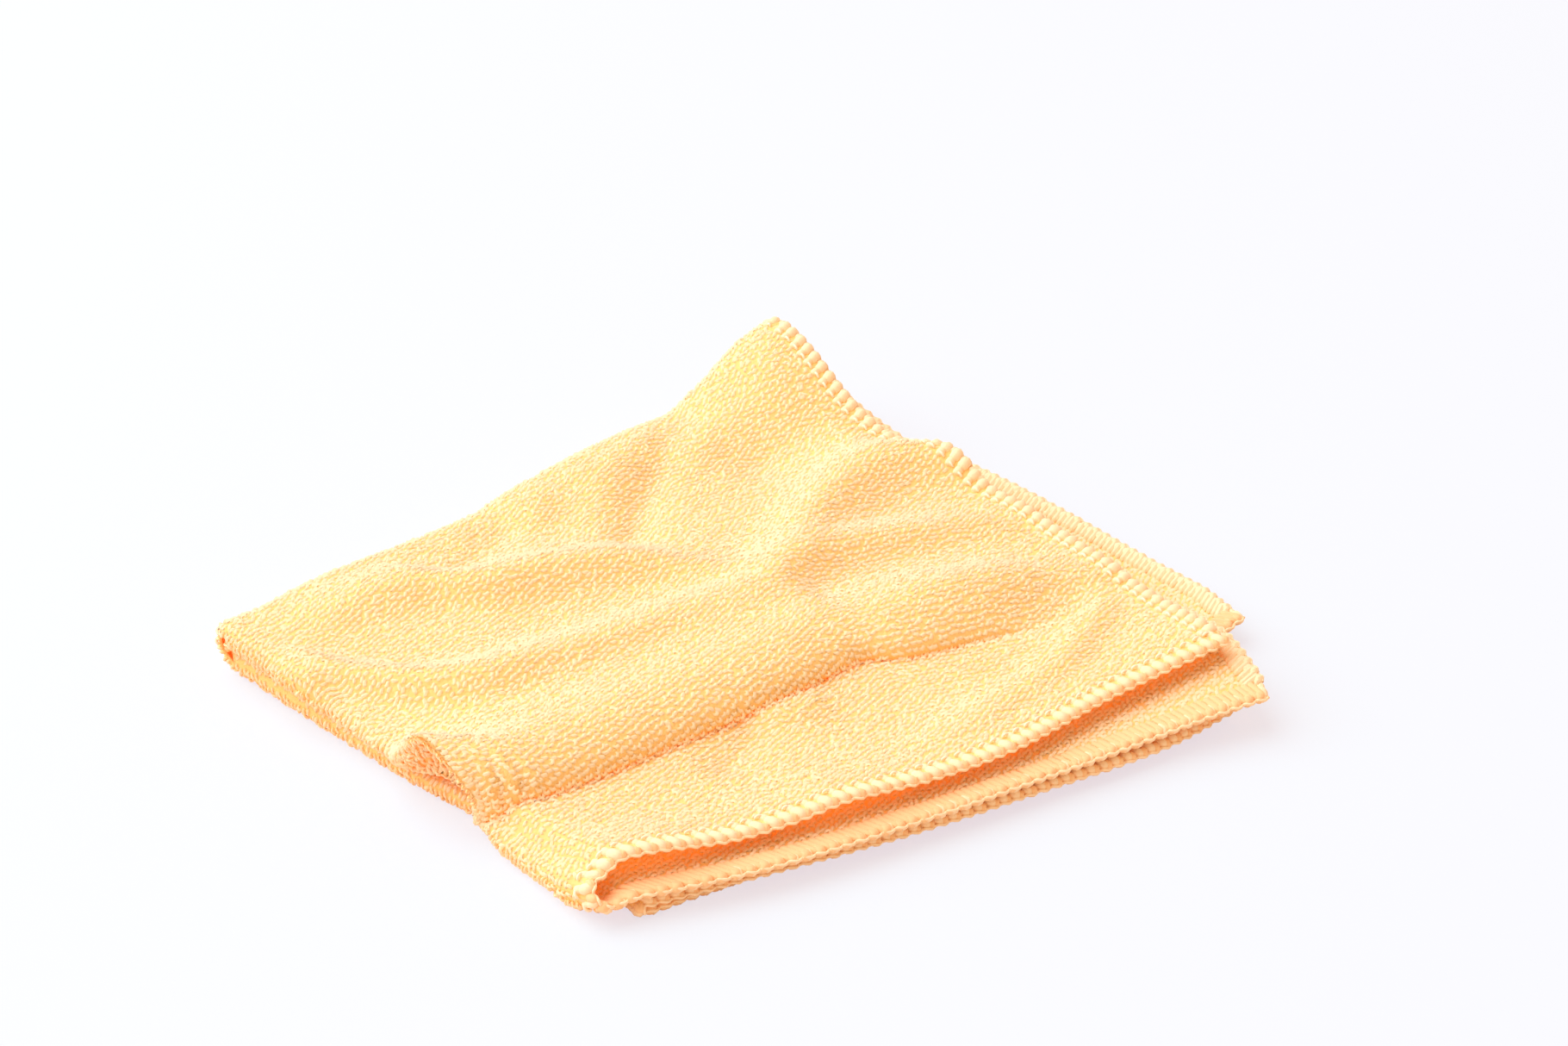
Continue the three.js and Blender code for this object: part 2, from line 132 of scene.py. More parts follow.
def between(points, share):
    """Runs straight from point to point of a few (share, value) points, and on past the ends."""
    shares = [p[0] for p in points]
    result = None
    for i in range(len(points) - 1):
        part = (share - shares[i]) / (shares[i + 1] - shares[i])
        piece = mix(points[i][1], points[i + 1][1], part)
        result = piece if result is None else np.where(share > shares[i], piece, result)
    return result


# Plan of the layers: how far each edge lies past the unwrinkled edge
side_fold = {
    "upper": through([(0, -3.2), (0.18, -5.4), (0.29, -4.2), (0.45, -6.8), (1, -12.5)]),
    "lower": through([(0, 3), (0.27, 1), (0.37, -2.6), (0.5, -5.6), (0.7, -8), (1, -10.8)]),
}
HALF_OF = {1: "lower", 2: "lower", 3: "upper", 4: "upper"}
open_side = {
    1: through([(0, 11.5), (0.35, 14), (0.65, 13), (0.85, 7), (1, -7)]),
    2: through([(0, -13), (0.5, -8), (1, -9)]),
    3: through([
        (0, -9), (0.06, -5), (0.13, -1.5), (0.25, -0.5), (0.65, 1.5), (0.82, -2), (1, -7.5),
    ]),
    4: through([(0, -7.5), (0.3, -4), (0.55, -2.5), (0.82, -8), (1, -8)]),
}
open_front = {
    1: through([(0, 10.5), (0.3, 7.5), (0.6, 10), (1, 18)]),
    2: through([(0, 10.5), (0.2, 5), (0.42, -0.4), (0.65, -4), (0.85, -6.5), (1, -5)]),
    3: through([(0, 11.5), (0.2, 3.5), (0.4, -0.8), (0.65, -4.2), (0.85, -7), (1, -11)]),
    4: through([(0, 16), (0.15, 11), (0.35, 6), (0.6, 2.5), (0.8, 4.5), (1, 2.3)]),
}
back_fold = through([(-EDGE, -20), (EDGE, -1)])

# The tuck that runs across the top behind the open front
tuck_foot = through([
    (-90, -17), (-80, -24), (-70, -29.5), (-40, -29.7), (-16, -28.6),
    (3, -27), (10, -27), (17, -31.5), (28, -35), (52, -42),
])
tuck_height = through([
    (-86, 11), (-77, 8.6), (-65, 5.6), (-52, 4.6), (0, 4.6), (22, 3.6), (40, 2), (56, 0),
])
tuck_lean = through([(-90, 4.5), (-78, 5.5), (-68, 6.6), (0, 7.2), (22, 6.4), (38, 4), (54, 0)])
tuck_fall = through([(-86, 5), (-78, 6), (-64, 9)])
ROLL_UNDERCUT = math.radians(38)  # how far the roll's round front turns in under itself
ROLL_DEPTH = 10.0
APRON_SWELL = 1.2
SWELL_TURN = 3.0  # length over which the swell turns down into the crease
SWELL_CREST = 5.0  # from the crease to where the swell starts to fade
SWELL_FADE = 9.0
apron_dip = through([(-90, 1), (0, 1), (22, 0.7), (45, 0.35)])
inner_arch = through([(-86, 3), (-76, 2), (-62, 0.8), (-48, 0)])
front_gape = through([
    (-80, 4), (-66, 4.4), (-50, 2.4), (-38, 2.6), (-26, 3.8), (-8, 2.6), (30, 2), (70, 1.4),
])
FRONT_GAPE_REACH = 15.0

# Beside the apron the upper half's side fold droops to the table, past the lower half's fold
FOLD_DROOP = 4.2
FOLD_DROOP_REACH = 5.0
DROOP_BACK, DROOP_BACK_FADE = -20.0, 7.0  # where the droop starts behind, and over what length
DROOP_FRONT, DROOP_FRONT_FADE = -68.0, 14.0  # and where it ends in front
droop_start = through([(-62, -71), (-43, -72.6), (-28, -73)])

# Under the roll's raised end the side fold is dented in, and the end's front has pleats
FOLD_DENT = 6.0
DENT_END = 0.47  # shares of the depth: where the dent ends, and over what it starts and ends
DENT_FADE_IN = 0.04
DENT_FADE_OUT = 0.07
rim_reach = through([(0.25, 0), (0.28, 3), (0.36, 5.4), (0.44, 4.4), (0.52, 0)])
PLEAT_LEAN = 0.9
PLEAT_PITCH = 3.4
PLEATS_PLACE = -75.0
PLEATS_REACH = 4.5

# Ridges: the line of the crest, its height along it, and how far it falls away in front and behind
RIDGES = [
    (
        through([(20, -15), (37, -21), (51, -27), (66, -34)]),
        through([(14, 0), (30, 2.4), (45, 3), (58, 2.2), (76, 0.8)]),
        6,
        8,
    ),
    (
        through([
            (-80, 30), (-72, 18), (-62, 7.5), (-48, 4), (-23, 2),
            (0, 1), (26, 3.5), (45, 0), (62, -5),
        ]),
        through([
            (-90, 1.6), (-74, 3.6), (-58, 4.6), (-40, 4), (-5, 3.8), (26, 4.2), (45, 3), (64, 0.8),
        ]),
        5.5,
        8,
    ),
    (
        through([(-66, 47), (-50, 44), (-41, 36), (-24, 31), (-7, 24), (3, 15), (13, 10)]),
        through([(-80, 0), (-62, 3), (-46, 4.8), (-30, 5.4), (-12, 4.6), (0, 2.6), (14, 0)]),
        6.5,
        9,
    ),
    (
        through([(10, 5), (20, 10), (32, 18), (46, 24), (59, 25), (70, 18)]),
        through([(6, 0), (20, 2.6), (36, 4.6), (52, 5.6), (66, 6.0), (80, 5.2)]),
        8,
        9,
    ),
    (
        through([(4, -60), (18, -58), (39, -54), (63, -42)]),
        through([(-4, 0), (12, 1.2), (36, 1.6), (56, 1.4), (70, 0.5)]),
        4.5,
        5,
    ),
    (
        through([(-60, 54), (0, 60), (36, 64)]),
        through([(-80, 0), (-50, 0.4), (-20, 0), (-10, 1.8), (10, 3.6), (30, 3.8), (48, 0)]),
        11,
        11,
    ),
]

# Lesser creases of the top: the points of each in plan, its rise or fall, and its width
CREASES = [
    ([(36, 67), (25, 60), (10, 47), (0, 36)], -1.8, 5),
    ([(-1, 57), (-12, 48)], -1.0, 5),
    ([(-21, 54), (-36, 45)], -1.2, 5),
    ([(52, 48), (42, 45)], -1.8, 8),
    ([(-32, -41), (-22, -36)], -1.3, 5),
    ([(-18, -34), (-9, -35)], 1.2, 4),
]
PEAK = (EDGE - 8, EDGE - 2)
FLARE_CORNER = (EDGE - 3, -EDGE + 3)
LOW_CORNER = (EDGE + 9, -EDGE + 18)
SIDE_PRESS = {"x": -EDGE - 9, "y": 3.0, "across": 16.0, "along": 28.0}


def creases(x, y):
    total = 0.0
    for line, rise, width in CREASES:
        nearest = np.full(np.shape(x), np.inf)
        for (ax, ay), (bx, by) in zip(line[:-1], line[1:]):
            length = math.hypot(bx - ax, by - ay)
            share = np.clip(((x - ax) * (bx - ax) + (y - ay) * (by - ay)) / length**2, 0, 1)
            nearest = np.minimum(nearest, np.hypot(x - mix(ax, bx, share), y - mix(ay, by, share)))
        total = total + rise * bell(nearest, width)
    return total


def ridge_relief(x, y):
    total = 0.0
    for crest, height, front, back in RIDGES:
        distance = y - crest(x)
        total = total + height(x) * bell(distance, np.where(distance < 0, front, back))
    return total


def roll_angle(behind):
    return mix(-ROLL_UNDERCUT, math.pi / 2, np.clip(behind / TUCK_CREST, 0, 1))


def roll_front(behind):
    """How far up its round front a point of the roll is, from 0 in the crease to 1 on the crest."""
    return (np.sin(roll_angle(behind)) + math.sin(ROLL_UNDERCUT)) / (1 + math.sin(ROLL_UNDERCUT))


def roll_back(x, behind):
    return bell(np.maximum(0, behind - TUCK_CREST), tuck_fall(x))


def tuck_rise(x, behind):
    return roll_front(behind) * roll_back(x, behind)


def tuck_forward(x, behind):
    """The share of the lean by which a point of the roll is drawn forward, to round its front."""
    depth = ROLL_DEPTH * (math.cos(ROLL_UNDERCUT) - np.cos(roll_angle(behind)))
    most = TUCK_CREST - ROLL_DEPTH * math.cos(ROLL_UNDERCUT)
    return (np.clip(behind, 0, TUCK_CREST) - depth) / most * roll_back(x, behind)


def apron_swell(behind):
    """The apron swells in front of the crease and turns down into it."""
    before = np.maximum(0, -behind - SWELL_CREST)
    return APRON_SWELL * smooth(-behind / SWELL_TURN) * bell(before, SWELL_FADE)


def peak_rise(x, y):
    across = np.exp(-(np.abs(x - PEAK[0]) / PEAK_REACH_ACROSS) ** PEAK_ROUNDNESS)
    return PEAK_HEIGHT * across * bell(y - PEAK[1], PEAK_REACH_ALONG)


def corner_curl(x, y, corner):
    return bell(np.hypot(x - corner[0], y - corner[1]), CORNER_REACH)


def air_kept(x, y):
    across = bell(x - SIDE_PRESS["x"], SIDE_PRESS["across"])
    return 1 - across * bell(y - SIDE_PRESS["y"], SIDE_PRESS["along"])


def fold_dent(along):
    start = smooth((along - FOOT_ALONG) / DENT_FADE_IN)
    return start * smooth((DENT_END - along) / DENT_FADE_OUT)


def pleats(x):
    return PLEAT_LEAN * np.sin(2 * np.pi * x / PLEAT_PITCH) * bell(x - PLEATS_PLACE, PLEATS_REACH)


def height_1(x, y):
    side = LOW_SIDE_LIFT * smooth((x - EDGE + LOW_SIDE_REACH / 4) / LOW_SIDE_REACH)
    return CLOTH_THICKNESS / 2 + side + LOW_CORNER_LIFT * corner_curl(x, y, LOW_CORNER)


def height_2(x, y):
    behind = y - tuck_foot(x)
    loft = LOWER_LOFT * air_kept(x, y) * smooth((behind + LOWER_LOFT_LEAD) / LOWER_LOFT_REACH)
    return height_1(x, y) + LAYER_PITCH + loft + LOWER_PEAK_SHARE * peak_rise(x, y)


def fold_droop(x, y):
    back = smooth((DROOP_BACK - y) / DROOP_BACK_FADE)
    front = smooth((y - DROOP_FRONT) / DROOP_FRONT_FADE)
    return FOLD_DROOP * smooth((droop_start(y) - x) / FOLD_DROOP_REACH) * (back * front)


def height_3(x, y):
    behind = y - tuck_foot(x) - TUCK_INNER_STEP
    arch = inner_arch(x) * tuck_rise(x, behind)
    flare = FLARE_LIFT * corner_curl(x, y, FLARE_CORNER)
    peak = (INNER_PEAK_SHARE - LOWER_PEAK_SHARE) * peak_rise(x, y)
    return height_2(x, y) + LAYER_PITCH + HALVES_LOFT + arch + flare + peak - fold_droop(x, y)


def height_4(x, y):
    behind = y - tuck_foot(x)
    flare = FLARE_LIFT * corner_curl(x, y, FLARE_CORNER)
    rest = height_2(x, y) + 2 * LAYER_PITCH + HALVES_LOFT + flare - fold_droop(x, y)
    loft = UPPER_LOFT * air_kept(x, y) * (1 - apron_dip(x) * (1 - roll_front(behind)))
    swell = apron_dip(x) * apron_swell(behind)
    front = open_front[4](np.clip((x + EDGE) / HALF_SIDE, 0, 1))
    mouth = front_gape(x) * bell(np.maximum(0, y + EDGE - front), FRONT_GAPE_REACH)
    peak = (1 - LOWER_PEAK_SHARE) * peak_rise(x, y)
    tuck = tuck_height(x) * tuck_rise(x, behind) + swell
    return rest + loft + mouth + tuck + peak + ridge_relief(x, y) + creases(x, y)


HEIGHT = {1: height_1, 2: height_2, 3: height_3, 4: height_4}


def layer_point(layer, across, along):
    """Points of a layer's middle surface, by shares of its width from the side fold to the open
    side and of its depth from front to back."""
    left = -EDGE + side_fold[HALF_OF[layer]](along) + SIDE_FOLD_INSET
    if layer == 4:
        left = left - rim_reach(along)
    right = EDGE + open_side[layer](along)
    x = between([(0, left), (HEM_ACROSS, right - HEM_BAND), (1, right)], across)
    front = -EDGE + open_front[layer](across)
    foot = tuck_foot(x) + (TUCK_INNER_STEP if layer == 3 else 0)
    rear = EDGE + back_fold(x)
    y = between([(0, front), (HEM_ALONG, front + HEM_BAND), (FOOT_ALONG, foot), (1, rear)], along)
    share = {4: 1.0, 3: np.clip(inner_arch(x) / inner_arch(-EDGE), 0, 1)}.get(layer, 0.0)
    lean = share * (tuck_lean(x) + pleats(x)) * tuck_forward(x, y - foot)
    return np.stack([x, y - lean, HEIGHT[layer](x, y)], -1)


def half_point(half, run, along):
    """Points of a half. The run goes from the open side of its top layer (0), round the side fold,
    to the open side of its bottom layer (1)."""
    run, along = np.broadcast_arrays(np.asarray(run, float), np.asarray(along, float))
    top, bottom = {"upper": (4, 3), "lower": (2, 1)}[half]
    upper = layer_point(top, 1 - np.minimum(run, LAYER_RUN) / LAYER_RUN, along)
    lower = layer_point(bottom, 1 - (1 - np.maximum(run, 1 - LAYER_RUN)) / LAYER_RUN, along)
    share = np.clip((run - LAYER_RUN) / BEND_SHARE, 0, 1)
    depth = np.linalg.norm(upper - lower, axis=-1) / 2
    if half == "upper":
        depth = mix(depth, -FOLD_DENT, fold_dent(along))
    angle = np.pi * share
    bend = (upper + lower) / 2 + (upper - lower) / 2 * np.cos(angle)[..., None]
    bend[..., 0] -= depth * np.sin(angle)
    result = np.where((run <= LAYER_RUN)[..., None], upper, bend)
    return np.where((run >= 1 - LAYER_RUN)[..., None], lower, result)


def back_point(run, turn):
    """Points of the back fold, from the upper half (turn 0) to the lower half (turn 1)."""
    run, turn = np.broadcast_arrays(np.asarray(run, float), np.asarray(turn, float))
    start = half_point("upper", run, np.ones_like(run))
    end = half_point("lower", 1 - run, np.ones_like(run))
    depth = np.minimum(np.linalg.norm(start - end, axis=-1) / 2, BACK_BULGE)
    angle = np.pi * turn
    result = (start + end) / 2 + (start - end) / 2 * np.cos(angle)[..., None]
    result[..., 1] += depth * np.sin(angle) + BACK_CLEARANCE
    return result


# Ends of the hinge line about which the upper half opens, in the CAD frame
HINGE_LEFT, HINGE_RIGHT = np.array([-86, 58.2, 6.4]), np.array([67, 76.4, 14.6])


def inner_fold(half):
    """The part of the inner back fold that goes with a half, from the half's back edge (turn 0) to
    the hinge line (turn 1), so that the two parts meet there however far the rag is opened."""
    def points(run, turn):
        run, turn = np.broadcast_arrays(np.asarray(run, float), np.asarray(turn, float))
        edge = half_point(half, run, np.ones_like(run))
        share = (edge[..., 0] + SHIFT[0] - HINGE_LEFT[0]) / (HINGE_RIGHT[0] - HINGE_LEFT[0])
        way = mix(HINGE_LEFT, HINGE_RIGHT, share[..., None]) - SHIFT - edge
        angle = np.pi / 2 * turn
        return edge + way * np.stack([np.zeros_like(angle), np.sin(angle), 1 - np.cos(angle)], -1)

    return points


def frame_at(surface, u, v, step=0.002):
    """Points, unit normals on the cloth's outer side, and unit tangents along u."""
    along_u = surface(u + step, v) - surface(u - step, v)
    along_v = surface(u, v + step) - surface(u, v - step)
    normal = np.cross(along_v, along_u)
    normal /= np.linalg.norm(normal, axis=-1, keepdims=True) + 1e-12
    tangent = along_u / (np.linalg.norm(along_u, axis=-1, keepdims=True) + 1e-12)
    return surface(u, v), normal, tangent


def upper(run, along):
    return half_point("upper", run, along)


def lower(run, along):
    return half_point("lower", run, along)


# Meshes


def make_mesh(name, points, quads, uv=None, tint=None, normals=None):
    """A smooth mesh from points in millimetres of the plan and quads, with UVs, a colour and a
    normal for each point where they are given."""
    mesh = bpy.data.meshes.new(name)
    points = ((points.reshape(-1, 3) + SHIFT) * MM).astype(np.float32)
    quads = np.ascontiguousarray(quads.reshape(-1, 4), np.int32)
    mesh.vertices.add(len(points))
    mesh.vertices.foreach_set("co", points.ravel())
    mesh.loops.add(quads.size)
    mesh.loops.foreach_set("vertex_index", quads.ravel())
    mesh.polygons.add(len(quads))
    mesh.polygons.foreach_set("loop_start", np.arange(0, quads.size, 4, dtype=np.int32))
    mesh.polygons.foreach_set("use_smooth", np.ones(len(quads), bool))
    if uv is not None:
        layer = mesh.uv_layers.new(name="OFBake")
        layer.uv.foreach_set("vector", uv.reshape(-1, 2)[quads.ravel()].astype(np.float32).ravel())
    if tint is not None:
        attribute = mesh.attributes.new("tint", "FLOAT_COLOR", "POINT")
        attribute.data.foreach_set("color", tint.astype(np.float32).ravel())
    mesh.update()
    mesh.validate()
    if normals is not None:
        mesh.normals_split_custom_set_from_vertices(normals.reshape(-1, 3).astype(np.float32))
    obj = bpy.data.objects.new(name, mesh)
    bpy.context.scene.collection.objects.link(obj)
    return obj


def grid_quads(rows, columns, wrap=False):
    """Quads of a grid of points, row by row; wrap joins the last column to the first."""
    across = np.arange(columns if wrap else columns - 1)
    r, c = np.meshgrid(np.arange(rows - 1) * columns, across, indexing="ij")
    d = (c + 1) % columns
    return np.stack([r + c, r + d, r + columns + d, r + columns + c], -1).reshape(-1, 4)


GROUND_HALF = 0.3  # half the thickness of the knitted ground under the loops
FACE_UV = 0.49  # height of each face's part of the UV map


def sheet_mesh(name, surface, u, v):
    """The knitted ground as a thin closed sheet over two lists of shares."""
    point, normal, _ = frame_at(surface, *np.broadcast_arrays(u[None, :], v[:, None]))
    points = np.stack([point + normal * GROUND_HALF, point - normal * GROUND_HALF])
    count, width = len(v) * len(u), len(u)
    face = grid_quads(len(v), len(u))
    rim = [np.arange(width), np.arange(count - width, count)[::-1]]
    rim += [np.arange(width - 1, count, width), np.arange(0, count, width)[::-1]]
    sides = [np.stack([a[:-1], a[1:], a[1:] + count, a[:-1] + count], -1) for a in rim]
    quads = np.concatenate([face, face[:, ::-1] + count] + [side[:, ::-1] for side in sides])
    flat = np.stack(np.broadcast_arrays(u[None, :], v[:, None] * FACE_UV), -1)
    uv = np.stack([flat, flat + [0, 1 - FACE_UV]])
    return make_mesh(name, points, quads, uv)


# Loops of the pile

LOOP_U = 1.4  # between columns of loops, in millimetres of cloth
LOOP_V = 1.3  # between loops in a column
LOOP_WIDTH = 0.96
LOOP_RADIUS = 0.36  # of the yarn
LOOP_STEPS = 6
LOOP_SIDES = 4
LOOP_ARC = (-24, 204)  # degrees of an arc that a loop goes round
LOOP_TWIST = 0.10  # how far it turns aside at its two flanks
LOOP_MIDDLE = 0.45  # height of the arc's middle
LOOP_FOOT = 0.15  # height up to which the yarn has painted shade, which stands for the loops shading one another at their feet
FIRST_LOOP, STAGGER = 0.25, 0.5  # start of a column in loops, and the shift of every other column
LOOP_JITTER = 0.18  # how far loops stray, in spaces between them
LOOP_YAW = 0.45  # spread of their turning, in radians
LEAN_ALONG, LEAN_ACROSS = (0, 0.15), (0.4, 0.22)  # mean and spread of their leaning
WIDTH_RANGE, HEIGHT_RANGE, RADIUS_RANGE = (0.86, 1.14), (0.86, 1.1), (0.88, 1.1)
LOOPS_PER_PIECE = 3800
CLOTH_SHADING = 0.68  # how far a loop takes its shading from the cloth under it, as soft fibres do
SHADING_SLOPE = 0.55  # less so where the cloth faces down
SHADING_FACE = 0.7  # and on the side of the yarn that faces the cloth
UV_MARGIN, UV_SPAN = 0.1, 0.8  # what a loop or strand leaves free and fills of its UV cell
ARC_SAMPLES = 400
MEAN_SAMPLES = 24
rng = np.random.default_rng(7)


def loop_template():
    """The middle line of one loop of yarn on the cloth, 1 wide and 1 high, and its rings."""
    angle = np.radians(np.linspace(*LOOP_ARC, LOOP_STEPS + 1))
    rise = LOOP_MIDDLE + np.sin(angle) * (1 - LOOP_MIDDLE)
    line = np.stack([np.cos(angle) / 2, LOOP_TWIST * np.sin(angle * 2), rise], -1)
    direction = np.gradient(line, axis=0)
    direction /= np.linalg.norm(direction, axis=1, keepdims=True)
    side = np.array([0.0, 1.0, 0.0])
    out = np.cross(direction, side)
    out /= np.linalg.norm(out, axis=1, keepdims=True)
    across = np.cross(out, direction)
    turn = np.linspace(0, 2 * np.pi, LOOP_SIDES, endpoint=False)
    turn = turn[None, :, None]
    return line, out[:, None] * np.cos(turn) + across[:, None] * np.sin(turn)


def loop_places(surface, u_range, v_range):
    """Column numbers, row numbers and shares of the loops, which stand in staggered columns, evenly
    spaced along the cloth itself."""
    line_u = np.linspace(*u_range, ARC_SAMPLES)
    points = surface(line_u[:, None], np.linspace(*v_range, MEAN_SAMPLES)[None, :])
    run = np.linalg.norm(np.diff(points, axis=0), axis=2).mean(axis=1).cumsum()
    columns = max(2, round(run[-1] / LOOP_U))
    places = (np.arange(columns) + 0.5) / columns * run[-1]
    line_u = np.interp(places, np.concatenate([[0], run]), line_u)
    line_v = np.linspace(*v_range, ARC_SAMPLES)
    points = surface(line_u[:, None], line_v[None, :])
    run = np.linalg.norm(np.diff(points, axis=1), axis=2).cumsum(axis=1)
    run = np.concatenate([np.zeros((columns, 1)), run], axis=1)
    i, j, v = [], [], []
    for k in range(columns):
        places = np.arange(FIRST_LOOP + STAGGER * (k % 2), run[k, -1] / LOOP_V) * LOOP_V
        i.append(np.full(len(places), k))
        j.append(np.arange(len(places)))
        v.append(np.interp(places, run[k], line_v))
    i, j, v = (np.concatenate(a) for a in (i, j, v))
    u = line_u[i] + rng.uniform(-LOOP_JITTER, LOOP_JITTER, i.size) * np.gradient(line_u)[i]
    v_step = (v_range[1] - v_range[0]) / (j.max() + 1)
    v = v + rng.uniform(-LOOP_JITTER, LOOP_JITTER, i.size) * v_step
    return i, j, u, np.clip(v, *v_range)


def cell_places(steps, sides, column, row):
    """UV places, in cells, of the steps along a tube and the sides round it, one cell to a tube."""
    along = UV_MARGIN + UV_SPAN * np.linspace(0, 1, steps)[None, :, None]
    turn = UV_MARGIN + UV_SPAN * np.arange(sides)[None, None, :] / sides
    return np.broadcast_arrays(column + along, row + turn)


def loops(name, surface, places, cells, side, height):
    """One object of loops at their places. Side is 1 on the outer face, -1 on the inner one."""
    i, j, u, v = places
    base, normal, tangent = frame_at(surface, u, v)
    normal = normal * side
    binormal = np.cross(normal, tangent)
    count = len(u)
    yaw = rng.normal(0, LOOP_YAW, count)
    t = tangent * np.cos(yaw)[:, None] + binormal * np.sin(yaw)[:, None]
    b = np.cross(normal, t)
    lean_t, lean_b = rng.normal(*LEAN_ALONG, count), rng.normal(*LEAN_ACROSS, count)
    up = normal + t * lean_t[:, None] + b * lean_b[:, None]
    up /= np.linalg.norm(up, axis=1, keepdims=True)
    wide = LOOP_WIDTH * rng.uniform(*WIDTH_RANGE, count)
    tall = height * rng.uniform(*HEIGHT_RANGE, count)
    line, ring = loop_template()
    thick = LOOP_RADIUS * rng.uniform(*RADIUS_RANGE, count)
    spread = np.stack([t, b, up], 1)  # rows are the loop's own axes
    at = line[None] * np.stack([wide, wide, tall - thick], -1)[:, None, :]
    points = np.einsum("nks,nsc->nkc", at, spread)[:, :, None, :]
    rings = np.einsum("kms,nsc->nkmc", ring, spread)
    points = points + rings * thick[:, None, None, None] + base[:, None, None, :]
    facing = np.einsum("nkmc,nc->nkm", rings, normal)
    slope = smooth(SHADING_SLOPE + normal[:, 2])[:, None, None]
    soft = (CLOTH_SHADING * slope * smooth((facing + SHADING_FACE) / SHADING_FACE))[..., None]
    normals = rings * (1 - soft) + normal[:, None, None, :] * soft
    normals = normals / np.linalg.norm(normals, axis=-1, keepdims=True)
    quad = grid_quads(LOOP_STEPS + 1, LOOP_SIDES, wrap=True)[:, ::-1]
    stride = (LOOP_STEPS + 1) * LOOP_SIDES
    quads = quad[None] + (np.arange(count) * stride)[:, None, None]
    cell = (i - i.min())[:, None, None], j[:, None, None]
    uv = np.stack(cell_places(LOOP_STEPS + 1, LOOP_SIDES, *cell), -1) / cells
    tint = np.ones((count, LOOP_STEPS + 1, LOOP_SIDES, 4))
    tint[..., 0] = rng.uniform(0, 1, count)[:, None, None]
    # painted shade: the second channel is 0 at a loop's foot and rises to 1 above it, which darkens
    # the feet
    tint[..., 1] = smooth((line[:, 2] - LOOP_FOOT) / (1 - LOOP_FOOT))[None, :, None]
    return make_mesh(name, points, quads, uv, tint.reshape(-1, 4), normals)


def pile(name, surface, u_range, v_range, side, height):
    """Loops all over a part of a surface, in as many objects as their number needs."""
    places = loop_places(surface, u_range, v_range)
    column, row = places[0], places[1]
    pieces = math.ceil(len(column) / LOOPS_PER_PIECE)
    width_of_piece = math.ceil((column.max() + 1) / pieces)
    made = []
    for k in range(pieces):
        chosen = column // width_of_piece == k
        cells = np.array([width_of_piece, row.max() + 1])
        some = [a[chosen] for a in places]
        made.append(loops(f"{name}_{k + 1}", surface, some, cells, side, height))
    return made


# Overlocked hems

RIB_STEPS = 11
RIB_SIDES = 7

# Strands of a stitch: where they start and end, in millimetres from the edge, and their radius
RIB_SPAN, RIB_RADIUS = (-0.15, HEM_WIDTH), 0.78
LOBE_SPAN, LOBE_RADIUS = (-0.35, 1.7), 1.12
BEAD_SPAN, BEAD_RADIUS = (-0.3, 3.1), 1.14
KNOT_SPAN, KNOT_RADIUS = (2.3, HEM_WIDTH - 0.3), 0.88
NEEDLE_INSET, NEEDLE_RADIUS = HEM_WIDTH - 1.1, 0.28
PURL_INSET, PURL_RADIUS = -0.3, 0.3

# How far they lie off the cloth's middle surface, and the share of a strand over which that changes
RIB_DEPTH, RIB_DIVE = 0.45, 0.22
LOBE_DEPTH, LOBE_DIVE = 0.15, 0.4
BEAD_RISE, BEAD_CLIMB = 0.1, 0.25
KNOT_RISE = 0.15
NEEDLE_RISE, NEEDLE_SAG = 1.0, 0.55
PURL_DEPTH = 0.3
PURL_SWAY_IN, PURL_SWAY_UP = 0.28, 0.14

# How they run along the edge, in stitches
RIB_SLANT = 0.86  # by which a rib of the inner face shifts over the width of the hem
LOBE_SLANT = RIB_SLANT * 0.45
BEAD_SLANT = -0.3  # and a bead of the outer face
KNOT_START = 0.6  # share of that slant where a knot sits on its bead
PAIR_GAP, PAIR_SPREAD = (0.18, 0.25), 0.3  # half the gap of two ribs, and where it has widened
NEEDLE_HALF = 0.3

# How uneven they are in place and size
RIB_STRAY, BEAD_STRAY = 0.04, 0.05
RIB_UNEVEN, LOBE_UNEVEN, BEAD_UNEVEN = 0.07, 0.06, 0.05
TUBE_POWER, BLOB_POWER = 6, 2.6  # how suddenly a tube and a rounder blob close at their ends
TUBE_END = 0.001  # least share of its section that is left there
SHADED_END = 0.2  # share of a strand, at its inner end, that has painted shade, where it goes in under the other strands
EDGE_SAMPLES = 800
FRONT_INNER_UNSHADED = 0.1  # how far the thread of the inner face keeps the pale colour at the front; the rest is painted shade under the mouth's overhang
SIDE_INNER_UNSHADED = 0.85  # and at the sides and the back, with a little painted shade
FRONT_PLUMPNESS = 1.0  # how full the beads are at the front
SIDE_PLUMPNESS = 1.15  # and at the sides and the back, where they lie closer
CELLS = 64  # cells of the UV map in a row
SIDE_HEM_START = HEM_ALONG * 0.75  # share of the depth where a side hem starts under the front hem


def evenly(strip):
    """The number of stitches along a strip, and the strip by a count of stitches, evenly along the
    edge itself."""
    share = np.linspace(0, 1, EDGE_SAMPLES)
    line = strip(share, np.full(EDGE_SAMPLES, HEM_WIDTH / 2))
    run = np.linalg.norm(np.diff(line, axis=0), axis=1).cumsum()
    run = np.concatenate([[0], run])
    stitches = round(run[-1] / STITCH_PITCH)

    def by_stitch(count, inwards):
        return strip(np.interp(count * run[-1] / stitches, run, share), inwards)

    return stitches, by_stitch


